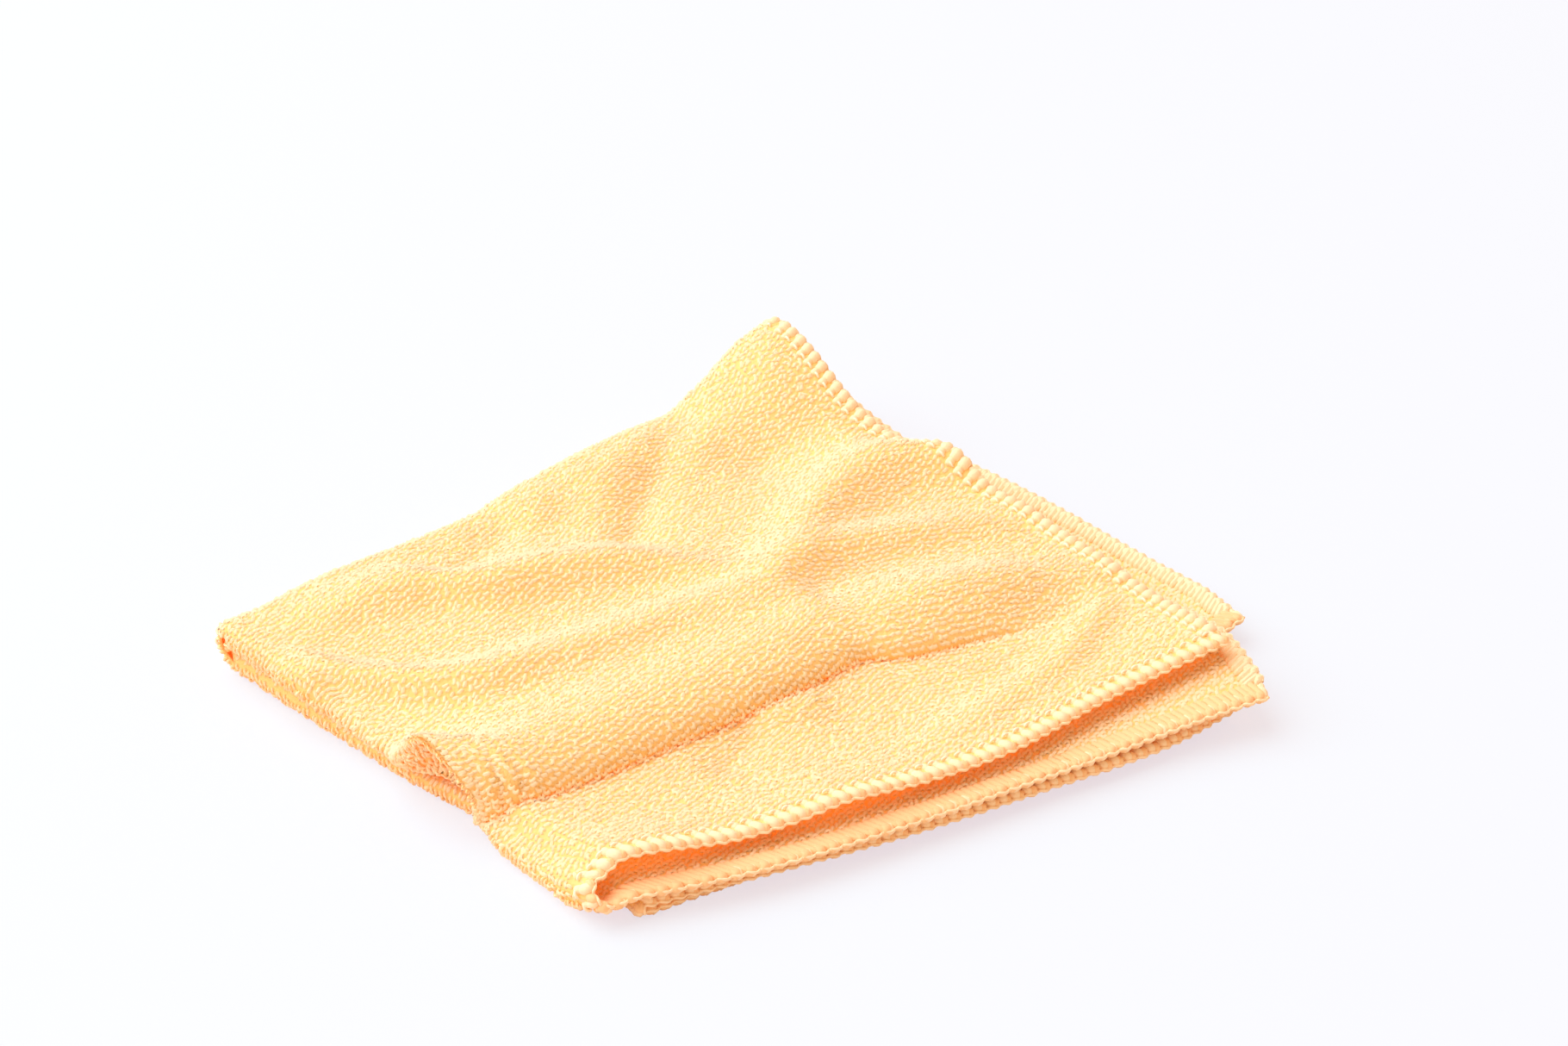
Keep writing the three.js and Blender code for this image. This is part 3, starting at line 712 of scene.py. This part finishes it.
def strands(strip, along, inwards, rise, radius):
    """Points of round strands of thread on a strip, given per strand and step: stitches along the
    edge, millimetres in from it and off the cloth's middle surface, and radius."""
    point, normal, _ = frame_at(strip, along, inwards)
    line = point + normal * rise[..., None]
    way = np.gradient(line, axis=1)
    way /= np.linalg.norm(way, axis=-1, keepdims=True) + 1e-9
    across = np.cross(way, normal)
    across /= np.linalg.norm(across, axis=-1, keepdims=True) + 1e-9
    out = np.cross(across, way)
    turn = np.linspace(0, 2 * np.pi, RIB_SIDES, endpoint=False)[:, None]
    ring = out[:, :, None] * np.cos(turn) + across[:, :, None] * np.sin(turn)
    return line[:, :, None] + ring * radius[..., None, None]


def hem(name, edge_strip, inner_unshaded=SIDE_INNER_UNSHADED, plump=SIDE_PLUMPNESS):
    """An overlocked hem along a strip, which gives points by a share along the edge and millimetres
    in from it."""
    stitches, strip = evenly(edge_strip)
    t = np.linspace(0, 1, RIB_STEPS)[None, :]
    tube = np.sqrt(np.clip(1 - (2 * t - 1) ** TUBE_POWER, TUBE_END, 1))
    blob = np.sqrt(np.clip(1 - np.abs(2 * t - 1) ** BLOB_POWER, TUBE_END, 1))
    one = np.arange(stitches)[:, None] + 0.5
    uneven = rng.normal(0, 1, (4, stitches, 1))
    gap = mix(*PAIR_GAP, smooth(t / PAIR_SPREAD))
    in_pair = np.stack([-gap, gap], 1)
    pair = one[:, None] + RIB_STRAY * uneven[0][:, None] + in_pair - RIB_SLANT * t
    pair = pair.reshape(-1, RIB_STEPS)
    full = np.ones_like(pair)
    ribs = strands(
        strip, pair,
        mix(*RIB_SPAN, t) * full,
        -RIB_DEPTH * smooth(t / RIB_DIVE) * full,
        RIB_RADIUS * tube * np.repeat(1 + RIB_UNEVEN * uneven[1], 2, axis=0),
    )
    full = np.ones((stitches, RIB_STEPS))
    lobes = strands(
        strip, one + RIB_STRAY * uneven[0] - LOBE_SLANT * t,
        mix(*LOBE_SPAN, t) * full,
        -LOBE_DEPTH * smooth(t / LOBE_DIVE) * full,
        LOBE_RADIUS * blob * (1 + LOBE_UNEVEN * uneven[1]),
    )
    bead_place = one + BEAD_STRAY * uneven[2]
    bead_size = plump * blob * (1 + BEAD_UNEVEN * uneven[3])
    beads = strands(
        strip, bead_place - BEAD_SLANT * t,
        mix(*BEAD_SPAN, t) * full,
        mix(-BEAD_RISE, BEAD_RISE, smooth(t / BEAD_CLIMB)) * full,
        BEAD_RADIUS * bead_size,
    )
    knots = strands(
        strip, bead_place - BEAD_SLANT * mix(KNOT_START, 1, t),
        mix(*KNOT_SPAN, t) * full,
        KNOT_RISE * full,
        KNOT_RADIUS * bead_size,
    )
    needle = strands(
        strip, one + 0.5 + mix(-NEEDLE_HALF, NEEDLE_HALF, t) + RIB_STRAY * uneven[0],
        NEEDLE_INSET * full,
        NEEDLE_RISE - NEEDLE_SAG * (2 * t - 1) ** 2 * full,
        NEEDLE_RADIUS * tube * full,
    )
    edge = one - 0.5 + t
    purl = strands(
        strip, edge,
        PURL_INSET + PURL_SWAY_IN * np.cos(2 * np.pi * edge),
        -PURL_DEPTH - PURL_SWAY_UP * np.sin(2 * np.pi * edge),
        PURL_RADIUS * full,
    )
    points = np.concatenate([needle, ribs, lobes, beads, knots, purl])
    count = len(points)
    quad = grid_quads(RIB_STEPS, RIB_SIDES, wrap=True)
    quads = quad[None] + (np.arange(count) * RIB_STEPS * RIB_SIDES)[:, None, None]
    cell = np.arange(count)[:, None, None]
    uv = np.stack(cell_places(RIB_STEPS, RIB_SIDES, cell % CELLS, cell // CELLS), -1)
    uv /= [CELLS, count // CELLS + 1]
    tint = np.ones((count, RIB_STEPS, RIB_SIDES, 4))
    # painted shade at the inner end of each strand
    tint[..., 0] = smooth((1 - t) / SHADED_END)[:, :, None]
    tint[..., 1] = 0
    # painted highlight: the needle stitches get the near-white colour for the glints of their shine
    tint[:len(needle), ..., 1] = 1
    # painted shade on the ribs and lobes of the inner face
    tint[len(needle):len(needle) + len(ribs) + len(lobes), ..., 0] *= inner_unshaded
    tint[..., 2] = np.arange(RIB_SIDES)[None, None, :] / RIB_SIDES
    return make_mesh(name, points, quads, uv, tint.reshape(-1, 4))


def front_strip(half):
    surface = {"upper": upper, "lower": lower}[half]
    return lambda share, inwards: surface(share, inwards / HEM_BAND * HEM_ALONG)


def side_strip(layer):
    """From the front hem to the back fold, or the other way, to keep the outer face outside."""
    def points(share, inwards):
        across = 1 - inwards / HEM_BAND * (1 - HEM_ACROSS)
        along = mix(SIDE_HEM_START, 1, share if layer in (1, 3) else 1 - share)
        return layer_point(layer, across, along)

    return points


def outer_back_strip(share, inwards):
    return back_point(inwards / HEM_BAND * CLOTH_START, 1 - share)


def inner_back_strip(share, inwards):
    edge = inwards / HEM_BAND * CLOTH_START
    above = inner_fold("upper")(1 - edge, 2 * share)
    below = inner_fold("lower")(edge, 2 - 2 * share)
    return np.where(np.asarray(share)[..., None] < 0.5, above, below)


# Materials

SPECULAR = 0.18  # weak, as on matt yarn
SHEEN_ROUGHNESS = 0.5
MIX_FIRST, MIX_SECOND, MIX_RESULT = 6, 7, 2  # colour sockets of a mix node


def principled(name, rough, sheen=0.0):
    """A material with a Principled shader; returns it with its node tree and the shader."""
    material = bpy.data.materials.new(name)
    material.use_nodes = True
    tree = material.node_tree
    shader = tree.nodes["Principled BSDF"]
    shader.inputs["Roughness"].default_value = rough
    shader.inputs["Specular IOR Level"].default_value = SPECULAR
    shader.inputs["Sheen Weight"].default_value = sheen
    shader.inputs["Sheen Roughness"].default_value = SHEEN_ROUGHNESS
    return material, tree, shader


def node(tree, kind, **values):
    made = tree.nodes.new(kind)
    for key, value in values.items():
        setattr(made, key, value)
    return made


def blended(tree, factor, first, second):
    """The socket of a mix of two colours, each a socket or plain values, by a factor socket."""
    made = node(tree, "ShaderNodeMix", data_type="RGBA")
    tree.links.new(factor, made.inputs["Factor"])
    for place, value in ((MIX_FIRST, first), (MIX_SECOND, second)):
        if isinstance(value, bpy.types.NodeSocket):
            tree.links.new(value, made.inputs[place])
        else:
            made.inputs[place].default_value = (*value, 1.0)
    return made.outputs[MIX_RESULT]


def noise(tree, scale, detail=2.0):
    """The socket of a noise that is fixed to the object, with scale in waves to a metre."""
    place = node(tree, "ShaderNodeTexCoord")
    made = node(tree, "ShaderNodeTexNoise")
    made.inputs["Scale"].default_value = scale
    made.inputs["Detail"].default_value = detail
    tree.links.new(place.outputs["Object"], made.inputs["Vector"])
    return made.outputs["Fac"]


def bump(tree, shader, height, strength, distance):
    """Bump from a height socket, over a distance in metres."""
    made = node(tree, "ShaderNodeBump")
    made.inputs["Strength"].default_value = strength
    made.inputs["Distance"].default_value = distance
    tree.links.new(height, made.inputs["Height"])
    tree.links.new(made.outputs["Normal"], shader.inputs["Normal"])


def tint_parts(tree):
    """The three sockets of the colour that each point of a mesh carries."""
    tint = node(tree, "ShaderNodeAttribute", attribute_name="tint")
    parts = node(tree, "ShaderNodeSeparateColor")
    tree.links.new(tint.outputs["Color"], parts.inputs[0])
    return parts.outputs


def times(tree, socket, factor):
    made = node(tree, "ShaderNodeMath", operation="MULTIPLY")
    made.inputs[1].default_value = factor
    tree.links.new(socket, made.inputs[0])
    return made.outputs[0]


def show_mix(tree, factor, first, second, output="Material Output"):
    """Mixes two shaders by a factor socket and shows the mix."""
    both = node(tree, "ShaderNodeMixShader")
    for place, socket in enumerate((factor, first, second)):
        tree.links.new(socket, both.inputs[place])
    tree.links.new(both.outputs[0], tree.nodes[output].inputs["Surface"])


# Colours of the yarn, and of the painted shade on it, as linear values
LOOP_PALE = (1.0, 0.855, 0.63)
LOOP_WARM = (1.0, 0.80, 0.52)
# painted shade at the feet of the loops
LOOP_FOOT_SHADE = (1.0, 0.67, 0.26)
# The ground's two tones are deeper than the yarn of the loops: painted shade of the gaps between
# loops; the noise between the two tones is uneven tone
GROUND_SHADE_DEEP = (1.0, 0.66, 0.26)
GROUND_SHADE_PALE = (1.0, 0.72, 0.32)
GROUND_GLOW = (1.0, 0.62, 0.30)
GROUND_LETS_THROUGH = 0.75  # share of the light, in the colour of the glow
THREAD_PALE = (1.0, 0.83, 0.60)
# painted shade of the thread, at the inner ends of strands and on the inner face
THREAD_SHADE = (0.97, 0.65, 0.36)
# painted highlight: a near-white colour for the glints on the needle thread
NEEDLE_HIGHLIGHT = (1.0, 0.93, 0.80)
THREAD_STRANDS = 8  # fine strands round a bundle of thread
STRAND_WANDER = 6.0  # radians by which they wander round it
THREAD_NOISE = 900.0


def terry_material():
    """Loops: each has its own tint of the pale yarn, and all are darkened at their feet with
    painted shade, as the loops would shade one another there.
    """
    material, tree, shader = principled("terry_loops", rough=0.9, sheen=0.25)
    own, height, _ = tint_parts(tree)
    pale = blended(tree, own, LOOP_WARM, LOOP_PALE)
    patch = blended(tree, noise(tree, scale=60.0), pale, LOOP_PALE)
    # painted shade: a deeper colour towards each loop's foot
    colour = blended(tree, height, LOOP_FOOT_SHADE, patch)
    tree.links.new(colour, shader.inputs["Base Color"])
    fibres = noise(tree, scale=9000.0, detail=3.0)
    bump(tree, shader, fibres, strength=0.5, distance=0.0001)
    return material


def ground_material():
    """The knitted ground, deeper in colour than the loops as painted shade of the gaps between
    them, which lets some light through, as thin cloth does.
    """
    material, tree, shader = principled("terry_ground", rough=0.95)
    # painted shade: the ground between the loops gets deeper tones than the yarn
    colour = blended(tree, noise(tree, scale=700.0), GROUND_SHADE_DEEP, GROUND_SHADE_PALE)
    tree.links.new(colour, shader.inputs["Base Color"])
    knit = noise(tree, scale=1500.0, detail=4.0)
    bump(tree, shader, knit, strength=0.8, distance=0.0004)
    path = node(tree, "ShaderNodeLightPath")
    share = times(tree, path.outputs["Is Shadow Ray"], GROUND_LETS_THROUGH)
    clear = node(tree, "ShaderNodeBsdfTransparent")
    clear.inputs["Color"].default_value = (*GROUND_GLOW, 1.0)
    show_mix(tree, share, shader.outputs[0], clear.outputs[0])
    return material


def thread_material():
    """Thread of the hems, with fine strands wound round it, painted shade at the inner ends of the
    strands and on the inner face, and a painted highlight on the needle stitches.
    """
    material, tree, shader = principled("overlock_thread", rough=0.62, sheen=0.2)
    paleness, needle, side = tint_parts(tree)
    even = blended(tree, noise(tree, scale=THREAD_NOISE), THREAD_PALE, LOOP_PALE)
    # painted shade: the thread darkens to the shade colour where the first channel of its tint is
    # low
    deep = blended(tree, paleness, THREAD_SHADE, even)
    # painted highlight on the needle stitches
    colour = blended(tree, needle, deep, NEEDLE_HIGHLIGHT)
    tree.links.new(colour, shader.inputs["Base Color"])
    turn = node(tree, "ShaderNodeMath", operation="MULTIPLY_ADD")
    turn.inputs[1].default_value = THREAD_STRANDS * 2 * math.pi
    tree.links.new(side, turn.inputs[0])
    wander = times(tree, noise(tree, scale=THREAD_NOISE), STRAND_WANDER)
    tree.links.new(wander, turn.inputs[2])
    wave = node(tree, "ShaderNodeMath", operation="SINE")
    tree.links.new(turn.outputs[0], wave.inputs[0])
    bump(tree, shader, wave.outputs[0], strength=0.22, distance=0.0001)
    return material


TERRY = terry_material()
GROUND = ground_material()
THREAD = thread_material()


def dress(obj, material):
    obj.data.materials.append(material)
    return obj


# The cloth

GROUND_COLUMNS = 280
GROUND_ROWS = 170
FOLD_ROWS = 24
INNER_FOLD_ROWS = 8
CREASE_ALONG = (FOOT_ALONG - 0.02, FOOT_ALONG + 0.1)  # the crease and the roll's front
CREASE_ROWS = (0.28, 0.58)  # and the share of the rows that lies before them and up to their end
BACK_LAP = 0.03  # share of its turn by which the back fold's ground runs on under the halves
BACK_PILE_LAP = 0.06  # and its loops, which close the bare line there
GROUND_INSET = 0.12  # share of a hem's band that the ground stays in from the edge
ground_start = GROUND_INSET * CLOTH_START
columns = np.linspace(ground_start, 1 - ground_start, GROUND_COLUMNS + 1)
rows = np.interp(
    np.linspace(0, 1, GROUND_ROWS + 1),
    [0, *CREASE_ROWS, 1],
    [GROUND_INSET * HEM_ALONG, *CREASE_ALONG, 1],
)
turns = np.linspace(-BACK_LAP, 1 + BACK_LAP, FOLD_ROWS + 1)
inner_turns = np.linspace(0, 1, INNER_FOLD_ROWS + 1)
top_columns, low_columns = columns[columns <= FOLD_RUN], columns[columns >= FOLD_RUN]


def ground(name, surface, u, v):
    return dress(sheet_mesh(name, surface, u, v), GROUND)


upper_sheet = ground("upper_ground", upper, columns, rows)
lower_sheet = ground("lower_ground", lower, columns, rows)
back_sheet = ground("back_ground", back_point, top_columns, turns)
upper_inner = ground("upper_inner_fold", inner_fold("upper"), low_columns, inner_turns)
lower_inner = ground("lower_inner_fold", inner_fold("lower"), top_columns, inner_turns)

# Heights of the loops, in millimetres
TOP_LOOPS, BACK_LOOPS, INSIDE_LOOPS, MOUTH_LOOPS, UNDER_LOOPS = 1.3, 1.2, 1.1, 1.0, 0.9

# Parts of the runs and depths that have loops. Inner faces have them only near the open edges
PILE_INSET = 0.84  # share of a hem's band that the loops stay in from the edge
INSIDE = (CLOTH_START * PILE_INSET, 1 - CLOTH_START * PILE_INSET)
DEPTH = (HEM_ALONG * PILE_INSET, 1.0)
MOUTH_END, LOW_MOUTH_END = 0.28, 0.14
MOUTH, LOW_MOUTH = (DEPTH[0], MOUTH_END), (DEPTH[0], LOW_MOUTH_END)
TOP_RUN = (INSIDE[0], LAYER_RUN + BEND_SHARE)
LOW_RUN = (LAYER_RUN + BEND_SHARE, INSIDE[1])
OUTER_RUN, INNER_RUN = (INSIDE[0], FOLD_RUN), (FOLD_RUN, INSIDE[1])
ARCH_RUN = (LAYER_RUN - BEND_SHARE / 4, LAYER_RUN + BEND_SHARE * 1.25)
SIDE_1, SIDE_3, SIDE_4 = (0.91, INSIDE[1]), (0.93, INSIDE[1]), (INSIDE[0], 0.06)
BACK_TURN = (-BACK_PILE_LAP, 1 + BACK_PILE_LAP)
OUTER, INNER = 1, -1
pile_upper, pile_lower, pile_back = [], [], []
pile_upper += pile("upper_top_pile", upper, TOP_RUN, DEPTH, OUTER, TOP_LOOPS)
pile_upper += pile("upper_under_pile", upper, LOW_RUN, DEPTH, OUTER, INSIDE_LOOPS)
pile_upper += pile("arch_pile", upper, ARCH_RUN, (FOOT_ALONG, DENT_END), OUTER, TOP_LOOPS)
pile_upper += pile("upper_mouth_pile", upper, INSIDE, MOUTH, INNER, INSIDE_LOOPS)
pile_upper += pile("layer_3_side_pile", upper, SIDE_3, (MOUTH_END, 1), INNER, INSIDE_LOOPS)
pile_upper += pile("layer_4_side_pile", upper, SIDE_4, (MOUTH_END, 1), INNER, INSIDE_LOOPS)
pile_lower += pile("lower_top_pile", lower, TOP_RUN, DEPTH, OUTER, INSIDE_LOOPS)
pile_lower += pile("lower_under_pile", lower, LOW_RUN, DEPTH, OUTER, UNDER_LOOPS)
pile_lower += pile("lower_mouth_pile", lower, INSIDE, LOW_MOUTH, INNER, MOUTH_LOOPS)
pile_lower += pile("layer_1_side_pile", lower, SIDE_1, (LOW_MOUTH_END, 1), INNER, INSIDE_LOOPS)
pile_back += pile("back_pile", back_point, OUTER_RUN, BACK_TURN, OUTER, BACK_LOOPS)
upper_fold, lower_fold = inner_fold("upper"), inner_fold("lower")
pile_upper += pile("upper_inner_fold_pile", upper_fold, INNER_RUN, (0, 1), OUTER, MOUTH_LOOPS)
pile_lower += pile("lower_inner_fold_pile", lower_fold, OUTER_RUN, (0, 1), OUTER, MOUTH_LOOPS)

upper_hems = [
    hem("upper_front_stitching", front_strip("upper"), FRONT_INNER_UNSHADED, FRONT_PLUMPNESS),
    hem("layer_3_stitching", side_strip(3)),
    hem("layer_4_stitching", side_strip(4)),
]
lower_hems = [
    hem("lower_front_stitching", front_strip("lower"), FRONT_INNER_UNSHADED, FRONT_PLUMPNESS),
    hem("layer_1_stitching", side_strip(1)),
    hem("layer_2_stitching", side_strip(2)),
]
back_hems = [
    hem("outer_back_stitching", outer_back_strip),
    hem("inner_back_stitching", inner_back_strip),
]
for piece in upper_hems + lower_hems + back_hems:
    dress(piece, THREAD)
for piece in pile_upper + pile_lower + pile_back:
    dress(piece, TERRY)
    piece.visible_shadow = False
for piece in [upper_sheet, upper_inner] + pile_upper + upper_hems:
    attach(piece, "upper_half")
for piece in [lower_sheet, lower_inner] + pile_lower + lower_hems:
    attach(piece, "lower_half")

# The outside of the back fold belongs to neither half, and its meshes keep their placing baked in
for piece in [back_sheet] + pile_back + back_hems:
    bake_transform(piece)

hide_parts("upper_half_cloth")
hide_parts("lower_half_cloth")
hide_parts("back_fold_cloth")
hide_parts("upper_front_hem")
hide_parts("layer_3_side_hem")
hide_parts("layer_4_side_hem")
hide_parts("lower_front_hem")
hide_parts("layer_1_side_hem")
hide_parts("layer_2_side_hem")
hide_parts("outer_back_hem")
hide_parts("inner_back_hem")

# Table, light and camera

TABLE_COLOUR = (0.53, 0.84, 0.98)  # evens out the warm light where the table is seen
TABLE_BOUNCE = (0.82, 0.78, 0.74)  # what it throws back at the rag
TABLE_WHITE = (1.045, 0.955, 1.04)  # the white that it shows
TABLE_WHITE_SHARE = 0.68
TABLE_SIZE = 6.0
TABLE_DROP = 0.0003  # metres that it lies under the rag


def seen_ray(tree):
    """The socket that is 1 for rays that show a surface, straight or in a glossy or clear one."""
    path = node(tree, "ShaderNodeLightPath")
    found = path.outputs["Is Camera Ray"]
    for name in ("Is Glossy Ray", "Is Transmission Ray"):
        most = node(tree, "ShaderNodeMath", operation="MAXIMUM")
        tree.links.new(found, most.inputs[0])
        tree.links.new(path.outputs[name], most.inputs[1])
        found = most.outputs[0]
    return found


def table():
    """A pale table, whose white shows to the camera and doesn't light the rag."""
    bpy.ops.mesh.primitive_plane_add(size=TABLE_SIZE, location=(0, 0, -TABLE_DROP))
    obj = bpy.context.object
    obj.name = "table"
    material, tree, shader = principled("table_top", rough=0.9)
    seen = seen_ray(tree)
    tree.links.new(blended(tree, seen, TABLE_BOUNCE, TABLE_COLOUR), shader.inputs["Base Color"])
    white = node(tree, "ShaderNodeEmission")
    white.inputs["Color"].default_value = (*TABLE_WHITE, 1.0)
    share = times(tree, seen, TABLE_WHITE_SHARE)
    show_mix(tree, share, shader.outputs[0], white.outputs[0])
    obj.data.materials.append(material)


def lamp(name, direction, distance, size, power, colour):
    """A round lamp that faces the rag from a direction."""
    data = bpy.data.lights.new(name, "AREA")
    data.shape = "DISK"
    data.size = size
    data.energy = power
    data.color = colour
    obj = bpy.data.objects.new(name, data)
    way = np.array(direction, float)
    way /= np.linalg.norm(way)
    obj.location = way * distance
    obj.rotation_euler = Vector(way).to_track_quat("Z", "Y").to_euler()
    bpy.context.scene.collection.objects.link(obj)


def sky(strength, colour):
    """An even light from all round, which shows as plain white."""
    world = bpy.data.worlds.new("studio")
    world.use_nodes = True
    tree = world.node_tree
    light = tree.nodes["Background"]
    light.inputs["Color"].default_value = (*colour, 1.0)
    light.inputs["Strength"].default_value = strength
    shown = node(tree, "ShaderNodeBackground")
    shown.inputs["Strength"].default_value = 1.0
    shown.inputs["Color"].default_value = (1.0, 1.0, 1.0, 1.0)
    show_mix(tree, seen_ray(tree), light.outputs[0], shown.outputs[0], "World Output")
    bpy.context.scene.world = world


# The camera, matched to the photo: degrees, millimetres of the plan, and millimetres of lens
AZIMUTH, ELEVATION = -37.3, 29.0
CAMERA_PLACE = np.array([-431.36, -581.49, 432.54])
LENS, SENSOR_WIDTH = 95.0, 36.0
CLIP_START = 0.01
BOUNCES = 16  # of light between the loops, which gives the creases their glow


def camera():
    data = bpy.data.cameras.new("photo_camera")
    data.lens = LENS
    data.sensor_width = SENSOR_WIDTH
    data.clip_start = CLIP_START
    obj = bpy.data.objects.new("photo_camera", data)
    obj.location = (CAMERA_PLACE + SHIFT) * MM
    obj.rotation_euler = (math.radians(90 - ELEVATION), 0, math.radians(AZIMUTH))
    bpy.context.scene.collection.objects.link(obj)
    bpy.context.scene.camera = obj


table()
sky(strength=0.88, colour=(0.95, 0.58, 0.32))
lamp(
    "key", direction=(-0.50, 0.48, 0.95), distance=2.0, size=3.0, power=55.0,
    colour=(1.0, 1.0, 1.0),
)
camera()
bpy.context.scene.view_settings.view_transform = "Standard"
bpy.context.scene.cycles.max_bounces = BOUNCES
bpy.context.scene.cycles.diffuse_bounces = BOUNCES
